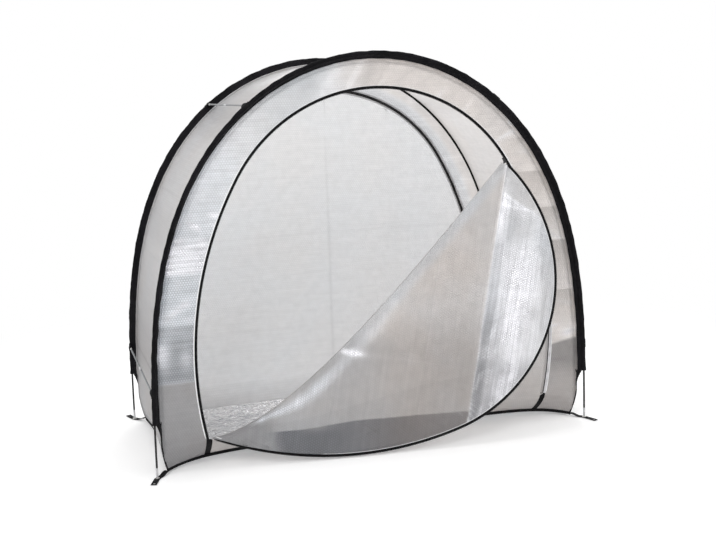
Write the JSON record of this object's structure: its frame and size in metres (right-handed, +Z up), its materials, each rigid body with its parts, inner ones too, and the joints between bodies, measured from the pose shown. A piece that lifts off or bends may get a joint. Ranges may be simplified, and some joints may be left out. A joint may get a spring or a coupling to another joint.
{
  "type": "frost protection tent",
  "caption": "Arched pop-up frost tent for plants: bubble film cover on two bent poles, zip door folded open, zip back door, foil floor and peg straps.",
  "frame": {"origin": "on the ground, under the middle of the tent, on the floor sheet's underside", "axes": "+Z up, +X across the door from the zip's left end to the folded door's slider, +Y from the open front wall to the back wall"},
  "size_m": [2.182, 1.1219, 1.8077],
  "materials": {
    "pole_tube": "dark glass fibre tube, satin",
    "bright_metal": "plain bright metal",
    "black_fabric": "woven black polyester",
    "bubble_film": "metallised bubble film, wrinkled, satin",
    "silver_foil": "bright silver foil, crinkled",
    "strut_tube": "grey glass fibre rod, satin",
    "black_metal": "black enamel"
  },
  "bodies": {
    "tent": {"front_pole_1": "pole_tube", "front_pole_2": "pole_tube", "front_pole_3": "pole_tube", "front_pole_4": "pole_tube", "front_pole_5": "pole_tube", "front_pole_6": "pole_tube", "front_pole_7": "pole_tube", "back_pole_1": "pole_tube", "back_pole_2": "pole_tube", "back_pole_3": "pole_tube", "back_pole_4": "pole_tube", "back_pole_5": "pole_tube", "back_pole_6": "pole_tube", "back_pole_7": "pole_tube", "pole_tip_front_left": "bright_metal", "pole_tip_front_right": "bright_metal", "pole_tip_back_left": "bright_metal", "pole_tip_back_right": "bright_metal", "eyelet_front_left": "bright_metal", "eyelet_front_right": "bright_metal", "eyelet_back_left": "bright_metal", "eyelet_back_right": "bright_metal", "strap_front_left": "black_fabric", "strap_front_right": "black_fabric", "strap_back_left": "black_fabric", "strap_back_right": "black_fabric", "strut_low_left_front": "strut_tube", "strut_low_left_back": "strut_tube", "strut_low_right_front": "strut_tube", "strut_low_right_back": "strut_tube", "strut_high_left_front": "strut_tube", "strut_high_left_back": "strut_tube", "strut_high_right_front": "strut_tube", "strut_high_right_back": "strut_tube", "front_sleeve": "black_fabric", "back_sleeve": "black_fabric", "tunnel_cover": "bubble_film", "front_wall": "bubble_film", "back_wall": "bubble_film", "front_door": "bubble_film", "back_door": "bubble_film", "hem_front": "black_fabric", "hem_back": "black_fabric", "hem_left": "black_fabric", "hem_right": "black_fabric", "floor_sheet": "silver_foil", "front_zip_frame_tape": "black_fabric", "front_zip_door_tape": "black_fabric", "back_zip_frame_tape": "black_fabric", "back_zip_door_tape": "black_fabric"},
    "door_flap": {"front_flap": "bubble_film", "front_flap_tape": "black_fabric"},
    "front_slider": {"front_zip_slider": "black_metal"},
    "front_pull": {"front_zip_pull": "black_metal"},
    "back_slider": {"back_zip_slider": "black_metal"},
    "back_pull": {"back_zip_pull": "black_metal"}
  },
  "joints": [
    {"name": "door_flap_swing", "type": "hinge", "parent": "tent", "child": "door_flap", "pos_m": [-0.81383, -0.42052, 0.142], "axis": [-0.7822, 0, -0.623], "range_deg": [0, 167.5]},
    {"name": "front_slider_run", "type": "hinge", "parent": "tent", "child": "front_slider", "pos_m": [0.012, -0.41822, 0.904], "axis": [0, -1, 0], "range_deg": [0, 115]},
    {"name": "front_pull_swing", "type": "hinge", "parent": "front_slider", "child": "front_pull", "pos_m": [0.63801, -0.41262, 1.29822], "axis": [1, 0, 0], "range_deg": [0, 150]},
    {"name": "back_slider_run", "type": "hinge", "parent": "tent", "child": "back_slider", "pos_m": [0.012, 0.41822, 0.904], "axis": [0, -1, 0], "range_deg": [-30, 86]},
    {"name": "back_pull_swing", "type": "hinge", "parent": "back_slider", "child": "back_pull", "pos_m": [0.3593, 0.42382, 1.55718], "axis": [1, 0, 0], "range_deg": [0, 150]}
  ]
}
